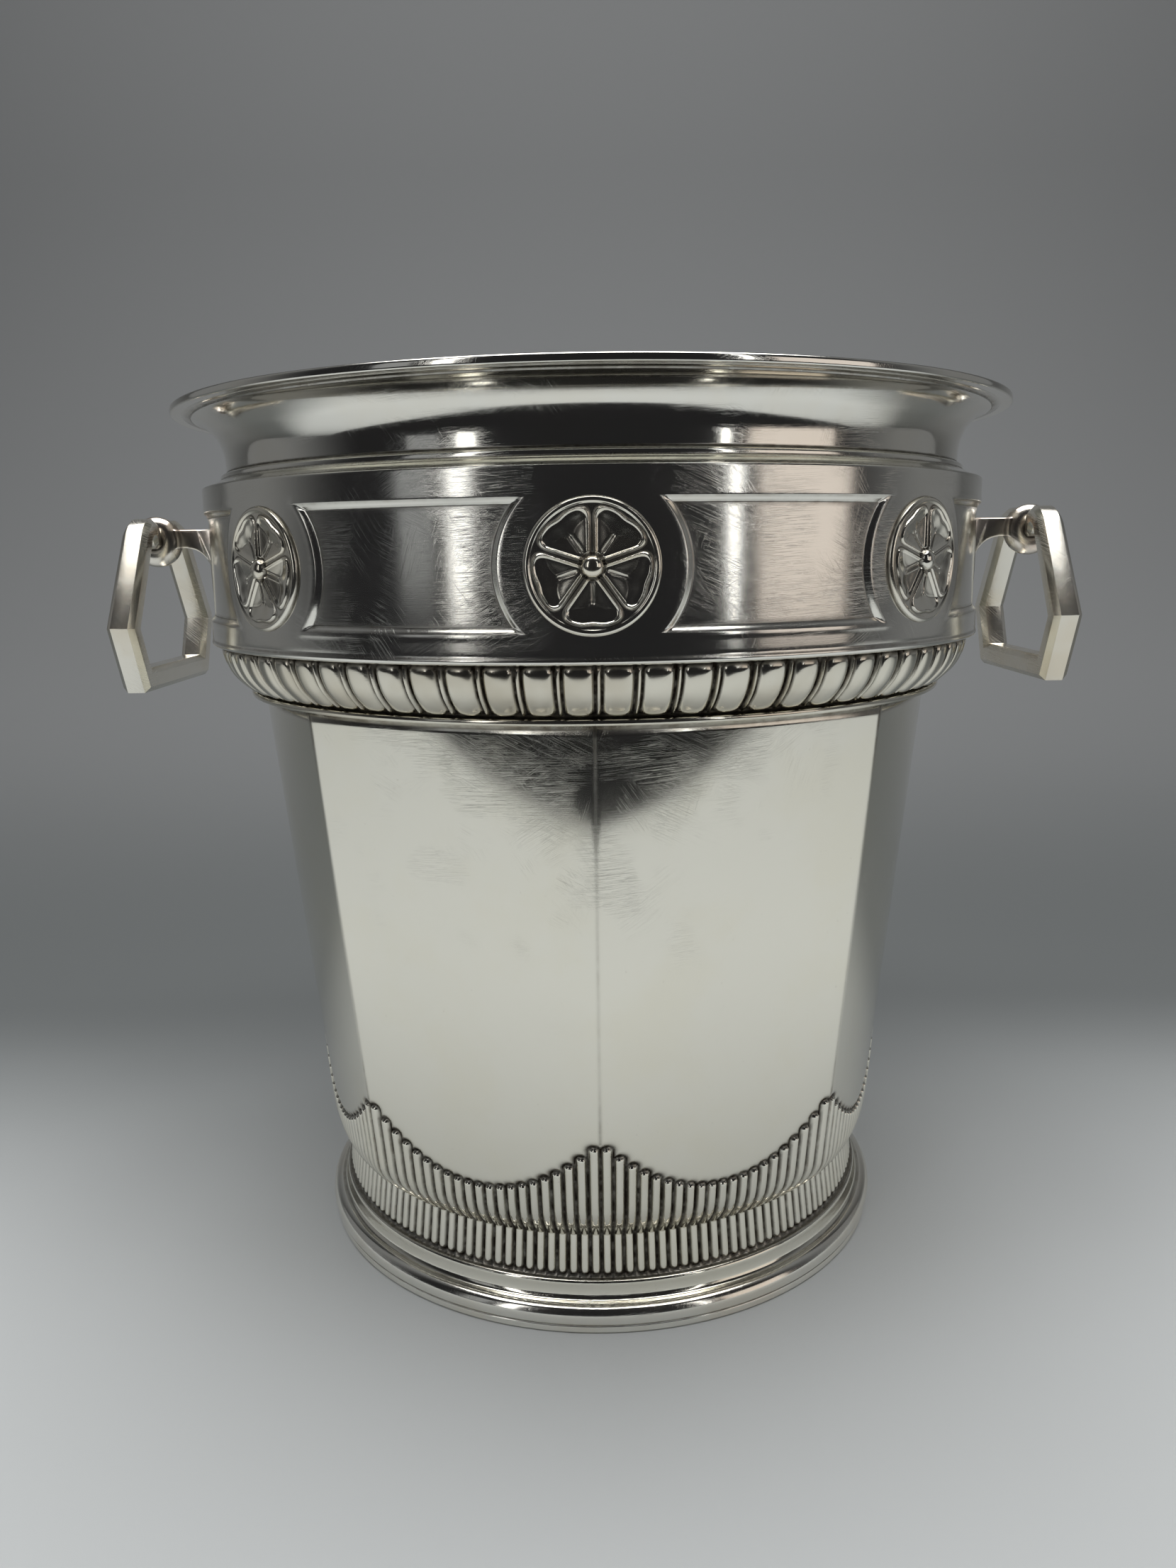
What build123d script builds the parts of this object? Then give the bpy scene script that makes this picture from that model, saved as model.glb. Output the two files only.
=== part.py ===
from build123d import *
import os
from math import sin, cos, radians, sqrt

os.makedirs("parts", exist_ok=True)

# ---------------------------------------------------------------------------
# Champagne bucket in silver-plated brass.  Millimetres, +Z up, origin at the
# centre of the foot's underside, front towards -Y, handles at +X and -X.
# ---------------------------------------------------------------------------

# driving dimensions: overall
TOTAL_H = 215.0          # foot to rim
RIM_R = 105.0            # rim, outside
SHEET = 1.5              # gauge of the raised and spun sheet

# heights of the seams between the pieces
Z_FOOT_TOP = 6.6         # foot moulding to spun foot
Z_WAIST = 21.8           # spun foot to body
Z_BODY_TOP = 146.0       # body to gadroon border
Z_GAD_TOP = 158.9        # gadroon border to frieze
Z_FRIEZE_TOP = 196.5     # frieze to neck
Z_NECK_TOP = 213.3       # neck to rim

# body: eight slightly convex facets meeting at creases
SIDES = 8
BODY_TOP_R = 89.9        # crease radius at the top
BODY_TOP_MID = 86.6      # mid-facet radius at the top
BODY_LOW_Z = 31.0
BODY_LOW_R = 77.9
BODY_LOW_MID = 75.0
WAIST_R = 70.8
FLOOR_R = 68.5
FLOOR_T = 1.5

# frieze
FRIEZE_R = 99.0
FRIEZE_T = 2.8
PANEL_Z0, PANEL_Z1 = 165.0, 190.5
PANEL_SINK = 0.9
PANEL_ARC_R = 18.1       # end arcs, concentric with the rosettes and lugs
ROSETTE_Z = 177.6
ROSETTE_R = 13.1
ROSETTE_H = 1.5          # stands this far off the frieze
ROSETTE_ANGLES = {"rosette_front": 0, "rosette_front_right": 45, "rosette_back_right": 135,
                  "rosette_back": 180, "rosette_back_left": 225, "rosette_front_left": 315}

# lugs and handles
PIVOT_X = 117.0
PIVOT_Z = 184.4
EYE_R = 6.7
EYE_W = 5.6              # along the pivot axis
PIN_R = 1.6
BORE_CLEAR = 0.05        # running fit, radial
BOSS_R = 2.5
BOSS_GAP = 0.35          # side play at each face of the eye
PLATE_T = 1.3
PLATE_TOP, PLATE_LOW = 192.7, 171.0
PLATE_HALF = 12.0
WEB_T = 4.0
BAR_X = 7.0              # handle bar, radial thickness
BAR_W = 6.0              # handle bar, width in the plane of the loop
BAR_CHAMFER = 1.5
HANDLE_PATH = [(7.0, 187.4), (12.3, 187.4), (28.4, 163.0), (22.0, 149.4)]  # y, z of the half centreline

# ---------------------------------------------------------------------------
# foot
# ---------------------------------------------------------------------------
with BuildPart() as foot_ring:
    with BuildSketch(Plane.XZ):
        with BuildLine():
            Polyline((75.2, Z_FOOT_TOP), (70.5, Z_FOOT_TOP), (70.5, 0.0), (76.9, 0.0), (77.2, 0.3), (77.2, 1.7))
            ThreePointArc((77.2, 1.7), (77.5, 4.4), (75.2, Z_FOOT_TOP))
        make_face()
    revolve(axis=Axis.Z)
foot_ring.part.label = "foot_ring"
export_step(foot_ring.part, "parts/foot_ring.step")

with BuildPart() as foot_skirt:
    with BuildSketch(Plane.XZ):
        with BuildLine():
            ThreePointArc((75.0, Z_FOOT_TOP), (73.9, 7.4), (73.5, 9.0))
            Polyline((73.5, 9.0), (73.5, 10.7), (73.1, 11.2), (72.3, 11.2), (WAIST_R, Z_WAIST),
                     (WAIST_R - SHEET, Z_WAIST), (70.7, 12.0), (71.2, Z_FOOT_TOP), (75.0, Z_FOOT_TOP))
        make_face()
    revolve(axis=Axis.Z)
foot_skirt.part.label = "foot_skirt"
export_step(foot_skirt.part, "parts/foot_skirt.step")

# ---------------------------------------------------------------------------
# body: outer and inner lofts through eight-arc sections (z, crease R, mid R)
# ---------------------------------------------------------------------------
OUTER = [(Z_WAIST, WAIST_R, WAIST_R), (24.4, 73.5, 72.8), (27.7, 76.5, 74.6),
         (BODY_LOW_Z, BODY_LOW_R, BODY_LOW_MID), (Z_BODY_TOP, BODY_TOP_R, BODY_TOP_MID)]
INNER = [(Z_WAIST, FLOOR_R, FLOOR_R), (Z_WAIST + FLOOR_T, FLOOR_R, FLOOR_R), (28.4, 74.9, 73.0),
         (BODY_LOW_Z + 0.4, BODY_LOW_R - SHEET, BODY_LOW_MID - SHEET),
         (Z_BODY_TOP, BODY_TOP_R - SHEET, BODY_TOP_MID - SHEET)]
STEP_A = 360.0 / SIDES

with BuildPart() as body_shell:
    for z, rv, rm in OUTER:
        with BuildSketch(Plane.XY.offset(z)):
            with BuildLine():
                for i in range(SIDES):
                    a, b, c = radians(i * STEP_A), radians((i + 0.5) * STEP_A), radians((i + 1) * STEP_A)
                    ThreePointArc((rv * cos(a), rv * sin(a)), (rm * cos(b), rm * sin(b)), (rv * cos(c), rv * sin(c)))
            make_face()
    loft(ruled=True)
    for z, rv, rm in INNER:
        with BuildSketch(Plane.XY.offset(z)):
            with BuildLine():
                for i in range(SIDES):
                    a, b, c = radians(i * STEP_A), radians((i + 0.5) * STEP_A), radians((i + 1) * STEP_A)
                    ThreePointArc((rv * cos(a), rv * sin(a)), (rm * cos(b), rm * sin(b)), (rv * cos(c), rv * sin(c)))
            make_face()
    loft(ruled=True, mode=Mode.SUBTRACT)
body_shell.part.label = "body_shell"
export_step(body_shell.part, "parts/body_shell.step")

with BuildPart() as floor_plate:
    with BuildSketch(Plane.XY.offset(Z_WAIST)):
        Circle(FLOOR_R)
    extrude(amount=FLOOR_T)
floor_plate.part.label = "floor_plate"
export_step(floor_plate.part, "parts/floor_plate.step")

# ---------------------------------------------------------------------------
# gadroon border (turned form of the lobes) with its fillet ring
# ---------------------------------------------------------------------------
with BuildPart() as gadroon_ring:
    with BuildSketch(Plane.XZ):
        with BuildLine():
            Polyline((90.2, Z_BODY_TOP), (90.4, 147.0), (89.9, 148.0), (91.2, 149.2))
            Spline((91.2, 149.2), (93.2, 151.0), (95.4, 153.6), (96.5, 155.9), (97.2, Z_GAD_TOP))
            Polyline((97.2, Z_GAD_TOP), (94.8, Z_GAD_TOP), (93.6, 155.0), (91.0, 151.6), (87.0, 148.4),
                     (86.4, Z_BODY_TOP), (90.2, Z_BODY_TOP))
        make_face()
    revolve(axis=Axis.Z)
gadroon_ring.part.label = "gadroon_ring"
export_step(gadroon_ring.part, "parts/gadroon_ring.step")

# ---------------------------------------------------------------------------
# frieze band with eight sunk panels between the rosettes and lugs
# ---------------------------------------------------------------------------
with BuildPart() as panel_sinks:
    with BuildSketch(Plane.XY.offset(PANEL_Z0)):
        Circle(FRIEZE_R + 3)
        Circle(FRIEZE_R - PANEL_SINK, mode=Mode.SUBTRACT)
    extrude(amount=PANEL_Z1 - PANEL_Z0)
    for i in range(SIDES // 2):
        a = radians(i * STEP_A)
        with BuildSketch(Plane(origin=(0, 0, ROSETTE_Z), z_dir=(cos(a), sin(a), 0))):
            Circle(PANEL_ARC_R)
        extrude(amount=FRIEZE_R + 10, both=True, mode=Mode.SUBTRACT)

with BuildPart() as frieze_band:
    with BuildSketch(Plane.XZ):
        with BuildLine():
            Polyline((FRIEZE_R - FRIEZE_T, Z_GAD_TOP), (97.6, Z_GAD_TOP))
            ThreePointArc((97.6, Z_GAD_TOP), (98.6, 159.4), (FRIEZE_R, 160.5))
            Polyline((FRIEZE_R, 160.5), (FRIEZE_R, 196.0), (98.6, Z_FRIEZE_TOP), (FRIEZE_R - FRIEZE_T, Z_FRIEZE_TOP),
                     (FRIEZE_R - FRIEZE_T, Z_GAD_TOP))
        make_face()
    revolve(axis=Axis.Z)
    add(panel_sinks.part, mode=Mode.SUBTRACT)
frieze_band.part.label = "frieze_band"
export_step(frieze_band.part, "parts/frieze_band.step")

# ---------------------------------------------------------------------------
# neck: shoulder step and concave flare, then the flat rim
# ---------------------------------------------------------------------------
with BuildPart() as neck_collar:
    with BuildSketch(Plane.XZ):
        with BuildLine():
            Polyline((98.4, Z_FRIEZE_TOP), (96.6, 197.5), (94.4, 198.3), (94.3, 199.5), (93.0, 199.9))
            Spline((93.0, 199.9), (93.1, 203.2), (94.0, 206.8), (96.0, 210.0), (99.0, 212.3), (102.0, Z_NECK_TOP))
            Polyline((102.0, Z_NECK_TOP), (98.6, Z_NECK_TOP))
            Spline((98.6, Z_NECK_TOP), (96.2, 211.9), (94.0, 209.4), (92.5, 206.6), (91.7, 203.2), (91.6, 199.9))
            Polyline((91.6, 199.9), (91.8, 197.4), (95.4, Z_FRIEZE_TOP), (98.4, Z_FRIEZE_TOP))
        make_face()
    revolve(axis=Axis.Z)
neck_collar.part.label = "neck_collar"
export_step(neck_collar.part, "parts/neck_collar.step")

with BuildPart() as rim_ring:
    with BuildSketch(Plane.XZ):
        with BuildLine():
            Polyline((98.6, Z_NECK_TOP), (104.8, Z_NECK_TOP), (RIM_R, 213.5), (RIM_R, 214.6), (104.6, TOTAL_H),
                     (100.3, TOTAL_H), (98.6, 214.3), (98.6, Z_NECK_TOP))
        make_face()
    revolve(axis=Axis.Z)
rim_ring.part.label = "rim_ring"
export_step(rim_ring.part, "parts/rim_ring.step")

# ---------------------------------------------------------------------------
# rosettes: a disc seated on the frieze, dished inside a raised edge, with a
# round boss at the centre.  theta is measured from the front (-Y) towards +X.
# ---------------------------------------------------------------------------
rosettes = {}
for rname, theta in ROSETTE_ANGLES.items():
    t = radians(theta)
    d = (sin(t), -cos(t), 0)
    seat = Plane(origin=(d[0] * 90, d[1] * 90, ROSETTE_Z), z_dir=d)
    with BuildPart() as rosette:
        with BuildSketch(seat):
            Circle(ROSETTE_R)
        extrude(amount=14)
        with BuildSketch(Plane.XY.offset(ROSETTE_Z - 20)):
            Circle(FRIEZE_R + ROSETTE_H)
        extrude(amount=40, mode=Mode.INTERSECT)
        with BuildSketch(Plane(origin=(d[0] * (FRIEZE_R + 0.6), d[1] * (FRIEZE_R + 0.6), ROSETTE_Z), z_dir=d)):
            Circle(ROSETTE_R - 1.6)
        extrude(amount=5, mode=Mode.SUBTRACT)
        with BuildSketch(seat):
            Circle(2.1)
        extrude(amount=FRIEZE_R + 1.4 - 90)
        with BuildSketch(Plane.XY.offset(ROSETTE_Z - 20)):
            Circle(FRIEZE_R)
        extrude(amount=40, mode=Mode.SUBTRACT)
    rosette.part.label = rname
    export_step(rosette.part, "parts/" + rname + ".step")
    rosettes[rname] = rosette

# ---------------------------------------------------------------------------
# right-hand lug plate, lug, pin and handle, then the left-hand ones mirrored
# ---------------------------------------------------------------------------
with BuildPart() as lug_plate_right:
    with BuildSketch(Plane.YZ.offset(90)):
        with BuildLine():
            Polyline((-PLATE_HALF, PLATE_TOP), (PLATE_HALF, PLATE_TOP))
            Spline((PLATE_HALF, PLATE_TOP), (7.6, 183.5), (3.2, 175.5), (1.2, PLATE_LOW))
            Polyline((1.2, PLATE_LOW), (-1.2, PLATE_LOW))
            Spline((-1.2, PLATE_LOW), (-3.2, 175.5), (-7.6, 183.5), (-PLATE_HALF, PLATE_TOP))
        make_face()
    extrude(amount=14)
    with BuildSketch(Plane.XY.offset(PLATE_LOW - 5)):
        Circle(FRIEZE_R + PLATE_T)
    extrude(amount=40, mode=Mode.INTERSECT)
    with BuildSketch(Plane.XY.offset(PLATE_LOW - 5)):
        Circle(FRIEZE_R)
    extrude(amount=40, mode=Mode.SUBTRACT)
lug_plate_right.part.label = "lug_plate_right"
export_step(lug_plate_right.part, "parts/lug_plate_right.step")

with BuildPart() as lug_right:
    with BuildSketch(Plane.XZ):
        with BuildLine():
            Polyline((98.0, 187.7), (112.5, 187.7), (112.5, 182.8), (108.6, 182.8))
            Spline((108.6, 182.8), (104.4, 181.0), (101.9, 177.0), (100.9, 171.5))
            Polyline((100.9, 171.5), (98.0, 171.5), (98.0, 187.7))
        make_face()
    extrude(amount=WEB_T / 2, both=True)
    # the eye is a rounded bead turned about the pivot axis
    with BuildSketch(Plane.XY.offset(PIVOT_Z)):
        with BuildLine():
            Polyline((PIVOT_X + PIN_R + BORE_CLEAR, EYE_W / 2), (PIVOT_X + PIN_R + BORE_CLEAR, -EYE_W / 2),
                     (PIVOT_X + 4.4, -EYE_W / 2))
            ThreePointArc((PIVOT_X + 4.4, -EYE_W / 2), (PIVOT_X + EYE_R, 0), (PIVOT_X + 4.4, EYE_W / 2))
            Line((PIVOT_X + 4.4, EYE_W / 2), (PIVOT_X + PIN_R + BORE_CLEAR, EYE_W / 2))
        make_face()
    revolve(axis=Axis((PIVOT_X, 0, PIVOT_Z), (0, 1, 0)))
    with BuildSketch(Plane.XY.offset(PLATE_LOW - 5)):
        Circle(FRIEZE_R + PLATE_T)
    extrude(amount=40, mode=Mode.SUBTRACT)
lug_right.part.label = "lug_right"
export_step(lug_right.part, "parts/lug_right.step")

PIN_HALF = 6.0
with BuildPart() as pivot_pin_right:
    with BuildSketch(Plane.XZ):
        with Locations((PIVOT_X, PIVOT_Z)):
            Circle(PIN_R)
    extrude(amount=PIN_HALF, both=True)
pivot_pin_right.part.label = "pivot_pin_right"
export_step(pivot_pin_right.part, "parts/pivot_pin_right.step")

# the loop is a closed outline in the plane x = PIVOT_X, cut open at the eye
EYE_FACE = EYE_W / 2 + BOSS_GAP
with BuildPart() as handle_right:
    with BuildSketch(Plane.YZ.offset(PIVOT_X)):
        with BuildLine() as centre:
            Polyline(*[(y, z) for y, z in HANDLE_PATH] + [(-y, z) for y, z in reversed(HANDLE_PATH)], close=True)
        make_face()
        offset(amount=BAR_W / 2, kind=Kind.INTERSECTION)
        with BuildLine():
            Polyline(*[(y, z) for y, z in HANDLE_PATH] + [(-y, z) for y, z in reversed(HANDLE_PATH)], close=True)
            offset(amount=-BAR_W / 2, kind=Kind.INTERSECTION, mode=Mode.REPLACE)
        make_face(mode=Mode.SUBTRACT)
    extrude(amount=BAR_X / 2, both=True)
    # rounded shoulders
    fillet(handle_right.edges().filter_by(Axis.X).filter_by(lambda e: e.center().Z > PIVOT_Z + 2), radius=5.5)
    # faceted bar: the long edges are chamfered on both faces
    chamfer(handle_right.faces().filter_by(Axis.X).edges(), length=BAR_CHAMFER)
    # gap for the eye
    with BuildSketch(Plane.XY.offset(PIVOT_Z - 8)):
        with Locations((PIVOT_X, 0)):
            Rectangle(20, 2 * 6.2)
    extrude(amount=16, mode=Mode.SUBTRACT)
    # round bosses towards the eye, bored for the pin
    for s in (1, -1):
        with BuildSketch(Plane(origin=(PIVOT_X, s * EYE_FACE, PIVOT_Z), z_dir=(0, s, 0))):
            Circle(BOSS_R)
        extrude(amount=6.2 - EYE_FACE + 1.5)
    with BuildSketch(Plane.XZ):
        with Locations((PIVOT_X, PIVOT_Z)):
            Circle(PIN_R)
    extrude(amount=PIN_HALF, both=True, mode=Mode.SUBTRACT)
handle_right.part.label = "handle_right"
export_step(handle_right.part, "parts/handle_right.step")

for right, lname in ((lug_plate_right, "lug_plate_left"), (lug_right, "lug_left"),
                     (pivot_pin_right, "pivot_pin_left"), (handle_right, "handle_left")):
    with BuildPart() as left:
        mirror(right.part, about=Plane.YZ)
    left.part.label = lname
    export_step(left.part, "parts/" + lname + ".step")
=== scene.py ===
import bpy, math
import numpy as np
from mathutils import Matrix, Vector


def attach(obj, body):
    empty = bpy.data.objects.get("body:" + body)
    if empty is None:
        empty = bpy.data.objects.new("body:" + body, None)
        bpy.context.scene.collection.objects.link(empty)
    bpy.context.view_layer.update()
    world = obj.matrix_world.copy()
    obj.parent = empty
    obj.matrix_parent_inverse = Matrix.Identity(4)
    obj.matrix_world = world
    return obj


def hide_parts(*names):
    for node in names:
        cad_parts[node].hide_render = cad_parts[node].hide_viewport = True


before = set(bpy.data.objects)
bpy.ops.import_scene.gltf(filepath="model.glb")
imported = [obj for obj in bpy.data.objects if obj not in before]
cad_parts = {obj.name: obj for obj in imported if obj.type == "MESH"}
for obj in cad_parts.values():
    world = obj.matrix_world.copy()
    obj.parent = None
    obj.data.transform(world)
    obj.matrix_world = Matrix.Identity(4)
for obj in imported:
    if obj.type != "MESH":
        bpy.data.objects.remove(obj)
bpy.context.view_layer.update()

MM = 0.001
PI = math.pi
rng = np.random.default_rng(7)

# ---------------------------------------------------------------------------
# camera first
# ---------------------------------------------------------------------------
scene = bpy.context.scene
cam_data = bpy.data.cameras.new("camera")
cam = bpy.data.objects.new("camera", cam_data)
scene.collection.objects.link(cam)
pitch, roll, yaw = math.radians(11.2526), math.radians(0.8514), math.radians(-0.3667)
fwd = Vector((math.sin(yaw) * math.cos(pitch), math.cos(yaw) * math.cos(pitch), -math.sin(pitch)))
right = Vector((math.cos(yaw), -math.sin(yaw), 0))
up = Vector((math.sin(yaw) * math.sin(pitch), math.cos(yaw) * math.sin(pitch), math.cos(pitch)))
rx = math.cos(roll) * right - math.sin(roll) * up
ry = math.sin(roll) * right + math.cos(roll) * up
m = Matrix.Identity(4)
for r in range(3):
    m[r][0], m[r][1], m[r][2] = rx[r], ry[r], -fwd[r]
m[0][3], m[1][3], m[2][3] = 0.0, -0.32271, 0.18059
cam.matrix_world = m
cam_data.sensor_width = 36
cam_data.lens = 26.975
cam_data.clip_start = 0.01
scene.camera = cam

# ---------------------------------------------------------------------------
# materials
# ---------------------------------------------------------------------------
class Nodes:
    def __init__(self, name):
        self.mat = bpy.data.materials.new(name)
        self.mat.use_nodes = True
        self.t = self.mat.node_tree
        self.t.nodes.clear()
        self.out = self.t.nodes.new("ShaderNodeOutputMaterial")
        self.bsdf = self.t.nodes.new("ShaderNodeBsdfPrincipled")
        self.t.links.new(self.bsdf.outputs[0], self.out.inputs[0])

    def put(self, sock, v):
        if isinstance(v, bpy.types.NodeSocket):
            self.t.links.new(v, sock)
        else:
            sock.default_value = v

    def math(self, op, a, b=0.0, c=None, clamp=False):
        n = self.t.nodes.new("ShaderNodeMath")
        n.operation = op
        n.use_clamp = clamp
        self.put(n.inputs[0], a)
        self.put(n.inputs[1], b)
        if c is not None:
            self.put(n.inputs[2], c)
        return n.outputs[0]

    def ramp(self, v, lo, hi, a=0.0, b=1.0, kind="SMOOTHSTEP"):
        n = self.t.nodes.new("ShaderNodeMapRange")
        n.interpolation_type = kind
        self.put(n.inputs[0], v)
        n.inputs[1].default_value, n.inputs[2].default_value = lo, hi
        n.inputs[3].default_value, n.inputs[4].default_value = a, b
        return n.outputs[0]

    def mixc(self, f, a, b):
        n = self.t.nodes.new("ShaderNodeMix")
        n.data_type = "RGBA"
        self.put(n.inputs[0], f)
        self.put(n.inputs[6], a)
        self.put(n.inputs[7], b)
        return n.outputs[2]

    def noise(self, vec, scale, detail=3.0, rough=0.55, dist=0.0):
        n = self.t.nodes.new("ShaderNodeTexNoise")
        self.put(n.inputs["Vector"], vec)
        n.inputs["Scale"].default_value = scale
        n.inputs["Detail"].default_value = detail
        n.inputs["Roughness"].default_value = rough
        n.inputs["Distortion"].default_value = dist
        return n.outputs["Fac"]

    def obj(self):
        n = self.t.nodes.new("ShaderNodeTexCoord")
        return n.outputs["Object"]

    def sep(self, v):
        n = self.t.nodes.new("ShaderNodeSeparateXYZ")
        self.put(n.inputs[0], v)
        return n.outputs

    def comb(self, x, y, z=0.0):
        n = self.t.nodes.new("ShaderNodeCombineXYZ")
        self.put(n.inputs[0], x); self.put(n.inputs[1], y); self.put(n.inputs[2], z)
        return n.outputs[0]

    def attr(self, name):
        n = self.t.nodes.new("ShaderNodeAttribute")
        n.attribute_type = "GEOMETRY"
        n.attribute_name = name
        return n.outputs["Fac"]

    def bump(self, h, dist, strength=1.0, normal=None):
        n = self.t.nodes.new("ShaderNodeBump")
        n.inputs["Strength"].default_value = strength
        n.inputs["Distance"].default_value = dist
        self.put(n.inputs["Height"], h)
        if normal is not None:
            self.put(n.inputs["Normal"], normal)
        return n.outputs[0]

    def turned(self, u, v, ang, su, sv):
        """Coordinates turned by ang and stretched, for scratches that run one way."""
        c, s = math.cos(ang), math.sin(ang)
        a = self.math("ADD", self.math("MULTIPLY", u, c), self.math("MULTIPLY", v, s))
        b = self.math("SUBTRACT", self.math("MULTIPLY", v, c), self.math("MULTIPLY", u, s))
        return self.comb(self.math("MULTIPLY", a, su), self.math("MULTIPLY", b, sv), 0.0)


def silver(name, base, tint, rough=0.10, brush=0.5, scratch=1.0, ripple=1.0, tarnish=0.5, dirt_and_shade_col=(0.022, 0.016, 0.011, 1),
           around=True, reach=0.095, crease=False):
    """Silver plate. base is clean metal, tint its warm worn patches, brush the strength of fine polishing lines round the
    piece, scratch the hairlines, ripple the slight unevenness of hand-finished sheet, tarnish the general bloom."""
    k = Nodes(name)
    P = k.obj()
    x, y, z = k.sep(P)
    if around:
        th = k.math("ARCTAN2", x, k.math("MULTIPLY", y, -1.0))
        u = k.math("MULTIPLY", th, reach)
        v = z
    else:
        u, v = y, k.math("ADD", z, k.math("MULTIPLY", x, 0.7))
    cav = k.attr("cav")
    # scratches: bright thin lines where a stretched noise crosses its middle
    big = k.noise(P, 22.0, 2.0)
    lines = None
    for i, (ang, su, sv, w) in enumerate(((0.05, 70, 3600, 0.030), (0.55, 75, 2900, 0.018), (-0.42, 65, 3100, 0.016),
                                          (1.25, 60, 2500, 0.012), (2.2, 55, 2300, 0.010))):
        n = k.noise(k.turned(u, v, ang, su, sv), 1.0, 2.0, 0.5, 0.15)
        d = k.math("ABSOLUTE", k.math("SUBTRACT", n, 0.5 + 0.02 * i))
        l = k.ramp(d, 0.0, w, 1.0, 0.0)
        gate = k.ramp(k.noise(P, 48.0 + 9 * i, 2.0), 0.42, 0.75, 0.0, 1.0 if i == 0 else 0.6)
        l = k.math("MULTIPLY", l, gate)
        lines = l if lines is None else k.math("MAXIMUM", lines, l)
    fine = k.noise(k.turned(u, v, 0.03, 70, 5200), 1.0, 4.0, 0.7)
    cross = k.noise(k.turned(u, v, 0.62, 90, 4300), 1.0, 3.0, 0.65)
    patch = k.ramp(k.noise(P, 38.0, 4.0, 0.6), 0.42, 0.68)
    spots = k.ramp(k.noise(P, 900.0, 2.0, 0.6), 0.70, 0.78)
    # painted shade with dirt: the cav mask of hollows, joints and creases, broken up by noise, darkens the colour to
    # near-black and roughens it
    grime_and_painted_shade = k.math("MULTIPLY", cav, k.ramp(k.noise(P, 420.0, 3.0, 0.6), 0.25, 0.60, 0.75, 1.0), clamp=True)
    edge = k.math("MULTIPLY", k.ramp(cav, 0.02, 0.35), k.ramp(k.noise(P, 260.0, 3.0, 0.65), 0.40, 0.70), clamp=True)
    col = k.mixc(k.math("MULTIPLY", patch, tarnish, clamp=True), base, tint)
    col = k.mixc(k.math("MULTIPLY", edge, 0.45), col, (0.32, 0.26, 0.19, 1))
    col = k.mixc(k.math("MULTIPLY", spots, 0.25 * tarnish), col, (0.25, 0.20, 0.15, 1))
    col = k.mixc(k.math("MULTIPLY", lines, 0.10 * scratch, clamp=True), col, (0.97, 0.96, 0.94, 1))
    col = k.mixc(grime_and_painted_shade, col, dirt_and_shade_col)
    k.put(k.bsdf.inputs["Base Color"], col)
    k.bsdf.inputs["Metallic"].default_value = 1.0
    r = k.math("ADD", rough, k.math("MULTIPLY", k.math("SUBTRACT", big, 0.5), 0.045))
    r = k.math("ADD", r, k.math("MULTIPLY", patch, 0.03 * tarnish))
    r = k.math("ADD", r, k.math("MULTIPLY", lines, 0.12 * scratch))
    r = k.math("ADD", r, k.math("MULTIPLY", fine, 0.10 * brush))
    r = k.math("ADD", r, k.math("MULTIPLY", grime_and_painted_shade, 0.45), clamp=True)
    k.put(k.bsdf.inputs["Roughness"], r)
    low = k.noise(P, 34.0, 2.0, 0.5)
    n1 = k.bump(low, 0.00045 * ripple, 0.35)
    h = k.math("ADD", k.math("MULTIPLY", fine, 0.6 * brush), k.math("MULTIPLY", cross, 0.35 * brush))
    h = k.math("SUBTRACT", h, k.math("MULTIPLY", lines, 1.2 * scratch))
    n2 = k.bump(h, 0.0000042, 1.0, n1)
    k.put(k.bsdf.inputs["Normal"], n2)
    return k.mat


CLEAN = (0.895, 0.88, 0.815, 1)
WARM = (0.85, 0.79, 0.66, 1)
M_BAND = silver("silver_band", CLEAN, (0.85, 0.82, 0.73, 1), rough=0.06, brush=1.3, scratch=0.9, ripple=0.18, tarnish=0.3)
M_BODY = silver("silver_body", (0.895, 0.87, 0.775, 1), (0.88, 0.845, 0.72, 1), rough=0.065, brush=0.45, scratch=0.7, ripple=0.2, tarnish=0.6)
M_NECK = silver("silver_neck", CLEAN, WARM, rough=0.055, brush=0.45, scratch=0.5, ripple=0.3, tarnish=0.3)
M_RELIEF = silver("silver_relief", (0.86, 0.835, 0.75, 1), WARM, rough=0.13, brush=0.15, scratch=0.4, ripple=0.6, tarnish=0.8)
M_GAD = silver("silver_gadroon", (0.80, 0.77, 0.67, 1), (0.66, 0.61, 0.50, 1), rough=0.12, brush=0.15, scratch=0.4, ripple=0.5, tarnish=0.9)
M_FOOT = silver("silver_foot", CLEAN, (0.85, 0.79, 0.68, 1), rough=0.10, brush=0.5, scratch=0.8, ripple=0.4, tarnish=0.6)
M_HANDLE = silver("silver_handle", (0.87, 0.84, 0.755, 1), (0.80, 0.73, 0.60, 1), rough=0.19, brush=0.25, scratch=1.0, ripple=0.8, tarnish=0.9, around=False)
M_LUG = silver("silver_lug", (0.87, 0.83, 0.75, 1), (0.72, 0.56, 0.46, 1), rough=0.20, brush=0.2, scratch=0.6, ripple=0.8, tarnish=1.0, around=False)
M_PIN = silver("silver_pin", (0.62, 0.56, 0.47, 1), (0.45, 0.38, 0.30, 1), rough=0.30, brush=0.3, scratch=0.5, ripple=0.2, tarnish=1.0, around=False)
M_INSIDE = silver("silver_inside", (0.86, 0.85, 0.82, 1), (0.80, 0.77, 0.70, 1), rough=0.20, brush=0.9, scratch=1.0, ripple=0.6, tarnish=0.6)

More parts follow.
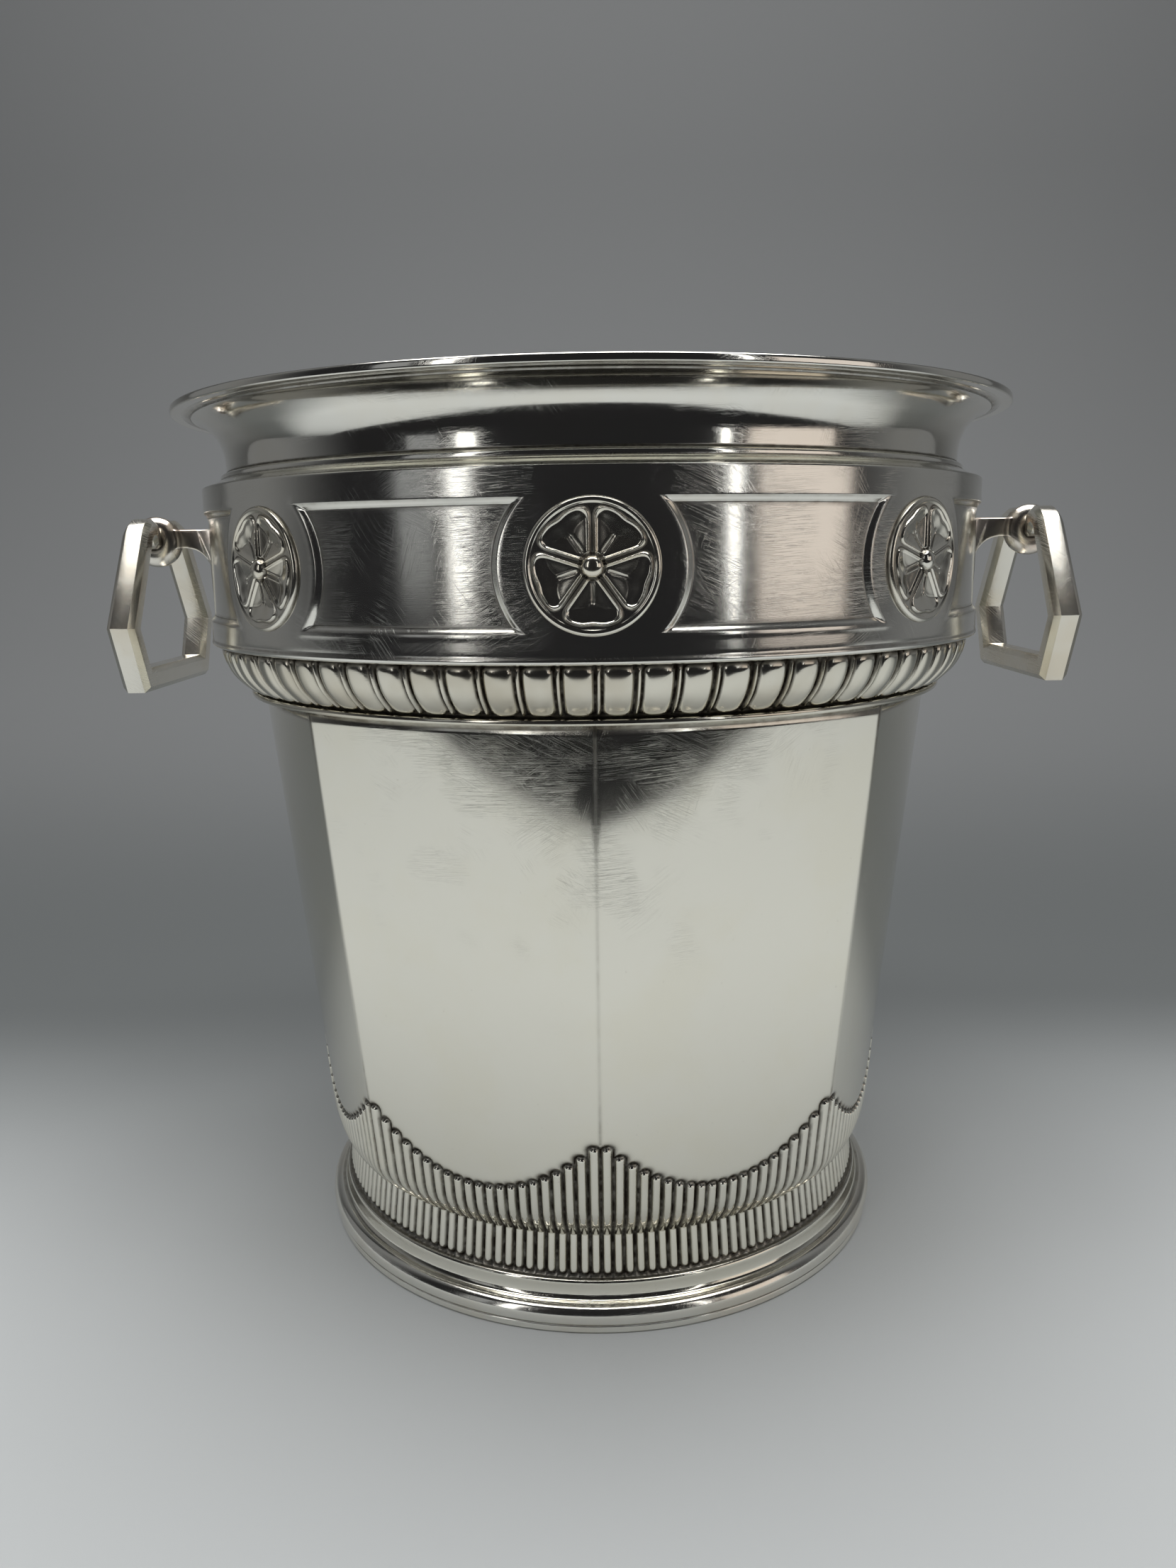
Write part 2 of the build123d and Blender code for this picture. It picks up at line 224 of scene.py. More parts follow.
# ---------------------------------------------------------------------------
# mesh helpers: millimetres in, metres out
# ---------------------------------------------------------------------------
def make(name, V, F, mat, body, cav=None, sharp=32.0, mats=None, fmat=None):
    me = bpy.data.meshes.new(name)
    V = np.asarray(V, dtype=float) * MM
    me.from_pydata(V.tolist(), [], np.asarray(F).tolist() if isinstance(F, np.ndarray) else F)
    me.validate(clean_customdata=False)
    # cav marks hollows, joints and creases, which the silver materials darken to near-black: painted shade with dirt
    a = me.attributes.new("cav", "FLOAT", "POINT")
    a.data.foreach_set("value", np.asarray(cav if cav is not None else np.zeros(len(V)), dtype=np.float32))
    for mm in (mats or [mat]):
        me.materials.append(mm)
    if fmat is not None:
        me.polygons.foreach_set("material_index", np.asarray(fmat, dtype=np.int32))
    me.polygons.foreach_set("use_smooth", np.ones(len(me.polygons), dtype=bool))
    me.update()
    if sharp:
        me.set_sharp_from_angle(angle=math.radians(sharp))
    o = bpy.data.objects.new(name, me)
    scene.collection.objects.link(o)
    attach(o, body)
    return o


def ring(name, R, Z, T, mat, cav=None, sharp=32.0, n_out=None, inside=None):
    """A closed ring: R, Z and T (angle from the front, radians) are columns x profile points; the profile runs up the
    outside and down the inside."""
    nc, n = R.shape
    X = R * np.sin(T); Y = -R * np.cos(T)
    V = np.stack([X, Y, Z + 0 * R], -1).reshape(-1, 3)
    i = np.arange(nc)[:, None]; j = np.arange(n)[None, :]
    i2 = (i + 1) % nc; j2 = (j + 1) % n
    F = np.stack([i * n + j, i2 * n + j, i2 * n + j2, i * n + j2], -1)
    fm = None
    if inside is not None and n_out is not None:
        fm = np.broadcast_to((np.arange(n) >= n_out).astype(int)[None, :], (nc, n)).reshape(-1)
    return make(name, V, F.reshape(-1, 4), mat, "bucket", None if cav is None else cav.reshape(-1), sharp,
                mats=[mat, inside] if inside is not None else None, fmat=fm)


def smooth_curve(pts, n):
    """Centripetal Catmull-Rom through pts, n points evenly spaced along it."""
    p = np.asarray(pts, float)
    p = np.vstack([2 * p[0] - p[1], p, 2 * p[-1] - p[-2]])
    out = []
    for a in range(1, len(p) - 2):
        p0, p1, p2, p3 = p[a - 1], p[a], p[a + 1], p[a + 2]
        t0 = 0; t1 = t0 + np.linalg.norm(p1 - p0) ** 0.5; t2 = t1 + np.linalg.norm(p2 - p1) ** 0.5; t3 = t2 + np.linalg.norm(p3 - p2) ** 0.5
        t = np.linspace(t1, t2, 24, endpoint=False)[:, None]
        A1 = (t1 - t) / (t1 - t0) * p0 + (t - t0) / (t1 - t0) * p1
        A2 = (t2 - t) / (t2 - t1) * p1 + (t - t1) / (t2 - t1) * p2
        A3 = (t3 - t) / (t3 - t2) * p2 + (t - t2) / (t3 - t2) * p3
        B1 = (t2 - t) / (t2 - t0) * A1 + (t - t0) / (t2 - t0) * A2
        B2 = (t3 - t) / (t3 - t1) * A2 + (t - t1) / (t3 - t1) * A3
        out.append((t2 - t) / (t2 - t1) * B1 + (t - t1) / (t2 - t1) * B2)
    out.append(p[-2][None, :])
    q = np.vstack(out)
    s = np.concatenate([[0], np.cumsum(np.linalg.norm(np.diff(q, axis=0), axis=1))])
    u = np.linspace(0, s[-1], n)
    return np.stack([np.interp(u, s, q[:, 0]), np.interp(u, s, q[:, 1])], -1)


def lathe(name, prof, mat, nc=360, n_out=None, inside=None, sharp=32.0, cavf=None):
    prof = np.asarray(prof, float)
    T = np.broadcast_to((np.arange(nc) * 2 * PI / nc)[:, None], (nc, len(prof)))
    R = np.broadcast_to(prof[:, 0][None, :], (nc, len(prof)))
    Z = np.broadcast_to(prof[:, 1][None, :], (nc, len(prof)))
    cav = None
    if cavf is not None:
        cav = np.broadcast_to(np.array([cavf(r, z) for r, z in prof])[None, :], (nc, len(prof)))
    return ring(name, R, Z, T, mat, cav, sharp, n_out, inside)


def sstep(x, a, b):
    t = np.clip((x - a) / (b - a), 0, 1)
    return t * t * (3 - 2 * t)

# ---------------------------------------------------------------------------
# reeds: 168 tongues whose tops rise to a point at each crease
# ---------------------------------------------------------------------------
NREED = 168
PER_FACET = 21

def reed_top(i):
    q = np.mod(i, PER_FACET)                  # 0 .. 20 across a facet
    t = np.minimum(q, PER_FACET - 1 - q) / 10.0
    return 34.6 + 13.8 * np.power(1 - t, 2.1)

def reeds(T, Z, Rr, lower=False):
    """Height of the reeds over the surface and a darkening mask for their gaps and edges, at angles T (radians) and
    heights Z.
    """
    pitch = 2 * PI / NREED
    a = np.mod(T, 2 * PI) / pitch
    i0 = np.floor(a)
    best = np.full(T.shape, -9.0)
    grv = np.zeros(T.shape)
    for k in (-1, 0, 1):
        i = i0 + k
        du = (a - (i + 0.5)) * pitch * Rr       # mm from this reed's middle
        half = 0.345 * pitch * Rr
        if lower:
            end = 12.2 + half
            dz = np.maximum(0, end - Z) * 1.05
        else:
            end = reed_top(i) - half * 0.75
            dz = np.maximum(0, Z - end) * 1.3
        d = np.sqrt(du ** 2 + dz ** 2)
        h = np.where(d < half, 0.62 * np.sqrt(np.clip(1 - (d / half) ** 2, 0, 1)) , -9)
        best = np.maximum(best, h)
        e = np.clip((d - half) / 0.34, 0, None)
        g = np.where(d >= half, e * np.exp(1 - e), 0)
        grv = np.maximum(grv, np.where(d >= half, np.minimum(1, g), 0))
    isr = best > -1
    h = np.where(isr, best - 0.12, -0.60 * grv)
    cav = np.where(isr, sstep(-best, -0.26, -0.0) * 0.75, np.clip(grv * 1.35, 0, 1))
    return h, cav

# ---------------------------------------------------------------------------
# body
# ---------------------------------------------------------------------------
def table(zs, tab):
    t = np.array(tab)
    return np.interp(zs, t[:, 0], t[:, 1]), np.interp(zs, t[:, 0], t[:, 2])

OUT_TAB = [(21.8, 70.8, 70.8), (23.0, 72.0, 71.7), (24.4, 73.5, 72.85), (26.0, 75.05, 73.9), (27.7, 76.4, 74.6), (29.4, 77.3, 75.0), (31.0, 77.85, 75.2),
           (33.0, 78.15, 75.4), (146.0, 89.9, 86.6)]

def facet_r(T, rv, rm):
    """Radius at angle T of a section of eight convex arcs with crease radius rv and mid-facet radius rm."""
    phi = np.mod(T, PI / 4) - PI / 8
    c0 = math.cos(PI / 8)
    flat = np.abs(rv - rm) < 1e-6
    den = rv * c0 - rm
    c = (rv ** 2 - rm ** 2) / (2 * np.where(np.abs(den) < 1e-9, 1e-9, den))
    rho = rm - c
    r = c * np.cos(phi) + np.sqrt(np.maximum(rho ** 2 - (c * np.sin(phi)) ** 2, 0))
    return np.where(flat, rm, r)

nc = NREED * 10
th = (np.arange(nc) + 0.5) * 2 * PI / nc
zo = np.concatenate([np.linspace(21.8, 50.4, 82), np.linspace(51.6, 146.0, 40)])
rv, rm = table(zo, OUT_TAB)
T = np.broadcast_to(th[:, None], (nc, len(zo)))
Z = np.broadcast_to(zo[None, :], (nc, len(zo)))
R = facet_r(T, rv[None, :], rm[None, :])
kern = np.array([1, 2, 3, 3, 3, 2, 1.0]); kern /= kern.sum()
pad = np.vstack([R[-3:], R, R[:3]])
R = sum(kern[i] * pad[i:i + nc] for i in range(7))
h, cav = reeds(T, Z, R)
top_fade = 1.0
R = R + h * top_fade
# painted shade: a fine dark line down the creases, strongest at the top and just above the reeds, and a painted shadow
# band just under the gadroon border
phi = np.abs(np.mod(T + PI / 8, PI / 4) - PI / 8) * R
painted_crease_shade = np.exp(-(phi / 0.42) ** 2) * (0.16 + 0.60 * sstep(Z, 128, 146) + 0.22 * sstep(-Z, -64, -50)) * (Z > 49.5)
painted_shade_under_border = sstep(Z, 144.6, 146.0) * 0.45
cav = np.clip(np.maximum(cav, np.maximum(painted_crease_shade, painted_shade_under_border)), 0, 1)
zi = np.array([146.0, 120.0, 90.0, 60.0, 31.6, 29.6, 28.2, 26.0, 24.2, 23.3, 21.8])
itab = [(21.8, 68.5, 68.5), (23.3, 68.5, 68.5), (28.4, 74.9, 73.0), (31.4, 76.4, 73.5), (146.0, 88.4, 85.1)]
rvi, rmi = table(zi, itab)
Ti = np.broadcast_to(th[:, None], (nc, len(zi)))
Ri = facet_r(Ti, rvi[None, :], rmi[None, :])
ring("body", np.hstack([R, Ri]), np.hstack([Z, np.broadcast_to(zi[None, :], (nc, len(zi)))]), np.hstack([T, Ti]), M_BODY,
     np.hstack([cav, np.zeros_like(Ri)]), sharp=None, n_out=len(zo), inside=M_INSIDE)
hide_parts("body_shell")

# ---------------------------------------------------------------------------
# spun foot with its lower reeds
# ---------------------------------------------------------------------------
cove = smooth_curve([(75.15, 6.6), (74.4, 6.75), (73.85, 7.4), (73.6, 8.4), (73.5, 9.3), (73.5, 10.3)], 14)
stepp = np.array([(73.42, 10.8), (73.15, 11.12), (72.75, 11.2), (72.15, 11.2)])
zr = np.linspace(11.45, 21.8, 32)
rr = 72.15 - (zr - 11.45) * (72.15 - 70.8) / (21.8 - 11.45)
head = np.vstack([cove, stepp])
Tr = np.broadcast_to(th[:, None], (nc, len(zr)))
Zr = np.broadcast_to(zr[None, :], (nc, len(zr)))
Rr = np.broadcast_to(rr[None, :], (nc, len(zr)))
hr, cr = reeds(Tr, Zr, Rr, lower=True)
tail = np.array([(69.3, 21.8), (70.5, 12.0), (71.0, 6.6)])
full = lambda p, k: np.broadcast_to(p[:, k][None, :], (nc, len(p)))
Rf = np.hstack([full(head, 0), Rr + hr, full(tail, 0)])
Zf = np.hstack([full(head, 1), Zr, full(tail, 1)])
hc = np.zeros((nc, len(head))); hc[:, -2:] = 0.75; hc[:, -3:-2] = 0.2; hc[:, 0:3] = 0.25
Cf = np.hstack([hc, cr, np.zeros((nc, len(tail)))])
ring("spun_foot", Rf, Zf, np.broadcast_to(th[:, None], Rf.shape), M_BODY, Cf, sharp=50)
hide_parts("foot_skirt")

# foot moulding
fp = np.vstack([smooth_curve([(76.7, 0.0), (77.05, 0.12), (77.2, 0.5), (77.22, 1.5), (77.05, 1.95)], 12),
                smooth_curve([(77.1, 2.1), (77.5, 2.7), (77.68, 3.8), (77.45, 5.0), (76.7, 6.1), (75.6, 6.58), (75.0, 6.6)], 26),
                np.array([(71.2, 6.6), (70.7, 6.1), (70.5, 5.2), (70.5, 0.5), (70.8, 0.0)])])
lathe("foot_moulding", fp, M_FOOT, nc=480, sharp=50, cavf=lambda r, z: 0.65 if (r > 77.0 and 1.85 < z < 2.2) else 0.0)
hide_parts("foot_ring")

# ---------------------------------------------------------------------------
# gadroon border
# ---------------------------------------------------------------------------
NG = 76
per = 22
ncg = NG * per
thg = np.arange(ncg) * 2 * PI / ncg
base = smooth_curve([(89.3, 148.45), (90.6, 148.9), (92.4, 150.4), (94.3, 152.6), (95.5, 155.0), (96.05, 157.0), (96.3, 158.9)], 40)
tan = np.gradient(base, axis=0); tan /= np.linalg.norm(tan, axis=1)[:, None]
nrm = np.stack([tan[:, 1], -tan[:, 0]], -1)
slen = np.concatenate([[0], np.cumsum(np.linalg.norm(np.diff(base, axis=0), axis=1))])
pg = 2 * PI / NG
U = np.mod(thg / pg - math.radians(0.5) / pg, 1.0)             # fillets at 0, lobes at 0.5
lob = np.abs(U - 0.5)[:, None]
fil = np.minimum(U, 1 - U)[:, None]
S = slen[None, :]
pitch_mm = pg * base[:, 0][None, :]
w = 0.372
ql = (lob / w) ** 2.6 + (np.clip(2.6 - S, 0, None) / 2.45) ** 2.6 + (np.clip(S - (slen[-1] - 2.2), 0, None) / 2.5) ** 2.4
dome = np.power(np.clip(1 - ql, 0, 1), 0.5)
hl = 1.05 * dome
qf = (fil / 0.056) ** 2 + (np.clip(1.0 - S, 0, None) / 0.9) ** 2 + (np.clip(S - (slen[-1] - 1.1), 0, None) / 1.0) ** 2
hf = 0.80 * np.power(np.clip(1 - qf, 0, 1), 0.5)
hg = np.maximum(hl, hf) - 0.12
solid = np.maximum(dome, np.power(np.clip(1 - qf, 0, 1), 0.5))
cg = np.clip(1.15 - solid * 2.6, 0, 1)
cg = np.maximum(cg, sstep(S + 0 * lob, slen[-1] - 1.3, slen[-1] - 0.2) * 0.9)
Rg = base[:, 0][None, :] + nrm[:, 0][None, :] * hg
Zg = base[:, 1][None, :] + nrm[:, 1][None, :] * hg
Zg = np.minimum(Zg, 158.95)
bead = smooth_curve([(89.9, 146.0), (90.4, 146.15), (90.62, 146.7), (90.45, 147.3), (90.0, 147.55), (89.5, 147.75), (89.25, 148.1)], 14)
tailg = np.array([(94.8, 158.9), (93.6, 155.0), (91.0, 151.6), (87.4, 148.6), (86.4, 147.4), (86.4, 146.0)])
fg = lambda p, k: np.broadcast_to(p[:, k][None, :], (ncg, len(p)))
cb = np.zeros((ncg, len(bead))); cb[:, -4:] = 0.8; cb[:, 0] = 0.6
ring("gadroon_border", np.hstack([fg(bead, 0), Rg, fg(tailg, 0)]), np.hstack([fg(bead, 1), Zg, fg(tailg, 1)]),
     np.broadcast_to(thg[:, None], (ncg, len(bead) + len(base) + len(tailg))), M_GAD,
     np.hstack([cb, cg, np.zeros((ncg, len(tailg)))]), sharp=60, n_out=len(bead) + len(base), inside=M_INSIDE)
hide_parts("gadroon_ring")

# ---------------------------------------------------------------------------
# frieze with sunk panels: grid lines follow the end arcs
# ---------------------------------------------------------------------------
RF = 99.0
ZC = 177.6
P0, P1 = 165.0, 190.5
BEV = 1.25
zrow = np.concatenate([np.linspace(160.9, P0 - 0.25, 6), [P0 - 0.08, P0], np.linspace(P0 + BEV * 0.5, P0 + BEV - 0.1, 2), [P0 + BEV, P0 + BEV + 0.2],
                       np.linspace(P0 + BEV + 1.0, P1 - BEV - 1.0, 24), [P1 - BEV - 0.2, P1 - BEV], np.linspace(P1 - BEV + 0.1, P1 - BEV * 0.5, 2), [P1, P1 + 0.08],
                       np.linspace(P1 + 0.3, 195.7, 6)])
def arc_ang(z, r):
    zz = np.clip(z, P0, P1) - ZC
    return np.arcsin(np.sqrt(np.maximum(r * r - zz * zz, 0)) / RF)
cols = []
for k in range(8):
    c0 = k * PI / 4
    for side in (0, 1):
        seg = []
        a1 = arc_ang(zrow, 18.1); a2 = arc_ang(zrow, 18.1 + BEV)
        half = PI / 8
        parts = [np.linspace(0, 1, 17)[:-1][:, None] * (a1 - math.radians(0.06))[None, :],
                 (a1 - math.radians(0.06))[None, :] + np.array([0.0, 0.5])[:, None] * math.radians(0.12),
                 a1[None, :] + math.radians(0.06) + np.linspace(0, 1, 5)[:-1][:, None] * (a2 - a1)[None, :],
                 a2[None, :] + np.array([0.0])[:, None],
                 a2[None, :] + math.radians(0.12) + np.linspace(0, 1, 17)[:-1][:, None] * (half - a2 - math.radians(0.12))[None, :]]
        seg = np.vstack(parts)
        if side == 0:
            cols.append(c0 + seg)
        else:
            cols.append(c0 + PI / 4 - seg[::-1][:-1])
            cols[-2] = np.vstack([cols[-2], np.full((1, len(zrow)), c0 + half)])
Tq = np.vstack(cols)
Zq = np.broadcast_to(zrow[None, :], Tq.shape)
ph = np.mod(Tq + PI / 8, PI / 4) - PI / 8                      # angle from the nearest rosette or lug
dist_arc = np.sqrt((RF * np.sin(np.abs(ph))) ** 2 + (Zq - ZC) ** 2) - 18.1
din = np.minimum(np.minimum(Zq - P0, P1 - Zq), dist_arc)
q = np.clip(din / BEV, 0, 1)
hp = -0.92 * (0.25 * q + 0.75 * sstep(q, 0.0, 1.0))
lip = 0.10 * np.exp(-((din + 0.30) / 0.28) ** 2)
Rq = RF + hp + lip
cq = np.clip(0.75 * np.exp(-((din - BEV - 0.05) / 0.14) ** 2) + 0.30 * np.exp(-((din - 0.02) / 0.10) ** 2), 0, 1)
foot_p = smooth_curve([(96.9, 158.92), (98.3, 158.95), (99.0, 159.3), (99.22, 159.85), (99.05, 160.35), (98.98, 160.7)], 14)
top_p = smooth_curve([(99.0, 195.85), (98.93, 196.2), (98.7, 196.42), (98.3, 196.5)], 6)
in_p = np.array([(96.2, 196.5), (96.2, 190.0), (96.2, 178.0), (96.2, 166.0), (96.2, 158.95)])
ncf = Tq.shape[0]
ff = lambda p, k: np.broadcast_to(p[:, k][None, :], (ncf, len(p)))
tf = lambda j, n: np.broadcast_to(Tq[:, j][:, None], (ncf, n))
cfoot = np.zeros((ncf, len(foot_p))); cfoot[:, :3] = 0.7; cfoot[:, -3:-1] = 0.25
ring("frieze", np.hstack([ff(foot_p, 0), Rq, ff(top_p, 0), ff(in_p, 0)]), np.hstack([ff(foot_p, 1), Zq, ff(top_p, 1), ff(in_p, 1)]),
     np.hstack([tf(0, len(foot_p)), Tq, tf(-1, len(top_p) + len(in_p))]), M_BAND,
     np.hstack([cfoot, cq, np.zeros((ncf, len(top_p) + len(in_p)))]), sharp=None, n_out=len(foot_p) + len(zrow) + len(top_p), inside=M_INSIDE)
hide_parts("frieze_band")

# ---------------------------------------------------------------------------
# neck and rim
# ---------------------------------------------------------------------------
neck = np.vstack([smooth_curve([(98.3, 196.5), (97.7, 196.62), (96.6, 197.1), (95.2, 197.85), (94.5, 198.25)], 14),
                  smooth_curve([(94.42, 198.4), (94.42, 198.9), (94.3, 199.35), (93.9, 199.6), (93.3, 199.8)], 10),
                  smooth_curve([(93.0, 200.1), (93.0, 201.4), (93.1, 203.2), (93.4, 205.0), (94.0, 206.8), (94.8, 208.5), (96.0, 210.0), (97.4, 211.3), (99.0, 212.3), (100.2, 212.75)], 56),
                  np.array([(100.3, 212.72), (100.45, 213.0), (102.2, 213.2), (102.3, 213.3)]),
                  smooth_curve([(98.6, 213.3), (97.5, 212.7), (96.2, 211.9), (94.9, 210.7), (94.0, 209.4), (93.1, 208.1), (92.5, 206.6), (91.9, 205.0), (91.7, 203.2), (91.6, 200.4), (91.7, 199.0), (92.1, 197.8), (93.6, 197.0), (95.6, 196.5)], 50)])
lathe("neck", neck, M_NECK, nc=480, n_out=84, inside=M_INSIDE, sharp=40,
      cavf=lambda r, z: 0.75 if (z < 200.15 and z > 199.7 and r > 92.6) else (0.45 if (198.2 < z < 198.5 and r > 94) else (0.5 if (212.7 < z < 213.05 and 100.2 < r < 100.5) else 0.0)))
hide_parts("neck_collar")
rim = np.vstack([smooth_curve([(102.4, 213.3), (104.0, 213.28), (104.75, 213.3), (104.95, 213.45), (105.0, 213.8), (105.0, 214.4), (104.9, 214.75), (104.5, 215.0), (103.0, 215.0), (101.4, 215.0), (100.2, 214.95), (99.2, 214.6), (98.65, 214.1), (98.6, 213.3)], 50)])
lathe("rim", rim, M_NECK, nc=480, sharp=60)
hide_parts("rim_ring")

# ---------------------------------------------------------------------------
# rosettes
# ---------------------------------------------------------------------------
def smin(a, b, k):
    hh = np.clip(0.5 + 0.5 * (b - a) / k, 0, 1)
    return b * (1 - hh) + a * hh - k * hh * (1 - hh)

def rosette_height(x, y):
    rho = np.hypot(x, y)
    ang = np.arctan2(y, x)
    al = np.mod(ang + PI / 2 + PI / 5, 2 * PI / 5) - PI / 5           # angle from the nearest petal's middle
    t = rho * np.sin(al)
    side = rho * np.sin(PI / 5 - np.abs(al)) - 0.36
    outer = 11.3 - rho - 0.42 * np.exp(-(t / 1.7) ** 2)               # heart-shaped end
    d = smin(side, outer, 2.5)
    field = 0.55 + 0.12 * sstep(rho, 9.0, 11.6)
    ridge = 0.42 * np.exp(-((d - 0.26) / 0.22) ** 2)
    bowl = -0.46 * sstep(d, 0.30, 3.2)
    lw = 3.5 - 1.3 * np.minimum(np.abs(t) / 4.4, 1.0) ** 1.3 + 0.55 * np.exp(-(t / 1.0) ** 2)
    e = outer / lw
    lipp = 0.27 * np.power(np.sin(PI * np.clip(e, 0, 1) ** 0.8), 1.15) * sstep(side, 0.35, 2.2) * (outer > 0)
    groove = -0.04 * np.exp(-((e - 1.04) / 0.07) ** 2) * sstep(side, 0.6, 1.6)
    inner = sstep(rho, 2.7, 3.8) * (1 - sstep(rho, 6.6, 8.0)) * sstep(d, 0.4, 0.8)
    vein = (0.10 * np.exp(-((np.abs(t) - 0.52) / 0.24) ** 2) - 0.10 * np.exp(-(t / 0.20) ** 2)) * inner
    hh = field + np.where(d > -1.0, ridge, 0) + np.where(d > 0, bowl + lipp + groove + vein, 0)
    rim_ = 1.02 * np.sqrt(np.clip(1 - ((rho - 12.3) / 0.84) ** 2, 0, 1))
    hh = np.where(rho > 11.2, np.maximum(hh * (rho < 12.3), rim_), hh)
    boss = np.where(rho < 2.1, 0.75 + 1.45 * np.sqrt(np.clip(1 - (rho / 2.1) ** 2, 0, 1)), 0)
    hh = np.where(rho < 2.1, np.maximum(boss, 0.5), hh - 0.28 * np.exp(-((rho - 2.35) / 0.3) ** 2))
    hh = np.where(rho > 13.05, np.minimum(hh, 0.2), hh)
    cv = 0.85 * np.exp(-((d + 0.13) / 0.12) ** 2) * (rho < 11.9) + 0.85 * np.exp(-((rho - 2.3) / 0.26) ** 2) * (rho > 2.0)
    cv = cv + 0.12 * np.exp(-((e - 1.05) / 0.06) ** 2) * sstep(side, 0.9, 1.9) + 0.25 * np.exp(-(t / 0.16) ** 2) * inner
    cv = cv + 0.16 * sstep(d, 0.7, 1.5) * (e > 1.0) + 0.8 * sstep(rho, 12.95, 13.12)
    cv = np.where(rho < 2.0, 0, cv)
    return hh, np.clip(cv, 0, 1)

def rosette(name, theta, node):
    nr, na = 98, 360
    rho = np.concatenate([np.linspace(0.25, 12.9, nr - 3), [13.0, 13.1, 13.14]])
    an = np.arange(na) * 2 * PI / na
    X = rho[:, None] * np.cos(an)[None, :]; Y = rho[:, None] * np.sin(an)[None, :]
    H, C = rosette_height(X, Y)
    front = len(rho)
    rb = np.array([12.9, 8.0, 4.0])
    Xb = rb[:, None] * np.cos(an)[None, :]; Yb = rb[:, None] * np.sin(an)[None, :]
    Hb = np.full(Xb.shape, -0.12)
    h0, c0 = rosette_height(np.array([0.0]), np.array([0.0]))
    X = np.vstack([X, Xb]); Y = np.vstack([Y, Yb]); H = np.vstack([H, Hb]); C = np.vstack([C, np.zeros(Xb.shape)])
    X1 = np.concatenate([[0], X.ravel(), [0]]); Y1 = np.concatenate([[0], Y.ravel(), [0]])
    H1 = np.concatenate([h0, H.ravel(), [-0.12]]); C1 = np.concatenate([[0], C.ravel(), [0]])
    A = theta + X1 / RF
    R1 = RF + H1
    V = np.stack([R1 * np.sin(A), -R1 * np.cos(A), ZC + Y1], -1)
    F = []
    n = X.shape[0]
    idx = lambda i, j: 1 + i * na + (j % na)
    for j in range(na):
        F.append((0, idx(0, j), idx(0, j + 1)))
    for i in range(n - 1):
        for j in range(na):
            F.append((idx(i, j), idx(i + 1, j), idx(i + 1, j + 1), idx(i, j + 1)))
    last = 1 + n * na
    for j in range(na):
        F.append((last, idx(n - 1, j + 1), idx(n - 1, j)))
    o = make(name, V, F, M_RELIEF, "bucket", C1, sharp=None)
    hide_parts(node)

for nm, deg in (("rosette_front", 0), ("rosette_front_right", 45), ("rosette_back_right", 135), ("rosette_back", 180), ("rosette_back_left", 225), ("rosette_front_left", 315)):
    rosette("flower_" + nm[8:], math.radians(deg), nm)

# ---------------------------------------------------------------------------
# lug plates: shields laid on the frieze, with a bead at the point
# ---------------------------------------------------------------------------
def lug_plate(name, s, node):
    zt = np.concatenate([np.linspace(171.2, 192.55, 40), [192.65, 192.7]])
    hw = np.interp(zt, [171.0, 172.5, 175.5, 179.5, 183.5, 188.0, 191.5, 192.7], [1.1, 1.6, 3.1, 5.2, 7.5, 10.1, 11.8, 12.0])
    nu = 25
    u = np.linspace(-1, 1, nu)
    Ug, Zg2 = np.meshgrid(u, zt, indexing="xy")
    Hw = np.broadcast_to(hw[:, None], Ug.shape)
    ed = np.minimum((1 - np.abs(Ug)) * Hw, np.minimum((192.7 - Zg2), 1.0 + (Zg2 - 171.2)))
    Hh = 1.28 * np.clip(ed / 0.5, 0, 1) ** 0.5
    Ht = np.maximum(Hh, 0.15)
    A = s * PI / 2 + Ug * Hw / RF
    Vt = np.stack([(RF + Ht) * np.sin(A), -(RF + Ht) * np.cos(A), Zg2], -1).reshape(-1, 3)
    Vb = np.stack([(RF - 0.12) * np.sin(A), -(RF - 0.12) * np.cos(A), Zg2], -1).reshape(-1, 3)
    n = len(zt); V = np.vstack([Vt, Vb]); off = n * nu
    F = []
    for i in range(n - 1):
        for j in range(nu - 1):
            a, b, c, d = i * nu + j, i * nu + j + 1, (i + 1) * nu + j + 1, (i + 1) * nu + j
            F.append((a, b, c, d)); F.append((off + a, off + d, off + c, off + b))
    for i in range(n - 1):
        a, d = i * nu, (i + 1) * nu
        F.append((a, d, off + d, off + a))
        a, d = i * nu + nu - 1, (i + 1) * nu + nu - 1
        F.append((a, off + a, off + d, d))
    for j in range(nu - 1):
        F.append((j, off + j, off + j + 1, j + 1))
        b = (n - 1) * nu + j
        F.append((b, b + 1, off + b + 1, off + b))
    cv = np.concatenate([np.clip(0.9 - ed * 1.4, 0, 0.6).ravel(), np.zeros(off)])
    # bead under the point
    nb, mb = 14, 20
    ctr = np.array([s * (RF + 0.35), 0, 170.6])
    base_i = len(V)
    pts = [(0, 0, 1)]
    for i in range(1, nb):
        p = PI * i / nb
        for j in range(mb):
            a = 2 * PI * j / mb
            pts.append((math.sin(p) * math.cos(a), math.sin(p) * math.sin(a), math.cos(p)))
    pts.append((0, 0, -1))
    B = np.array(pts) * np.array([1.15, 1.45, 1.35]) + ctr
    F2 = [(base_i, base_i + 1 + j, base_i + 1 + (j + 1) % mb) for j in range(mb)]
    for i in range(nb - 2):
        for j in range(mb):
            p0 = base_i + 1 + i * mb
            F2.append((p0 + j, p0 + mb + j, p0 + mb + (j + 1) % mb, p0 + (j + 1) % mb))
    lastv = base_i + len(pts) - 1
    p0 = base_i + 1 + (nb - 2) * mb
    F2 += [(lastv, p0 + (j + 1) % mb, p0 + j) for j in range(mb)]
    o = make(name, np.vstack([V, B]), F + F2, M_LUG, "bucket", np.concatenate([cv, np.zeros(len(pts))]), sharp=40)
    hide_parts(node)

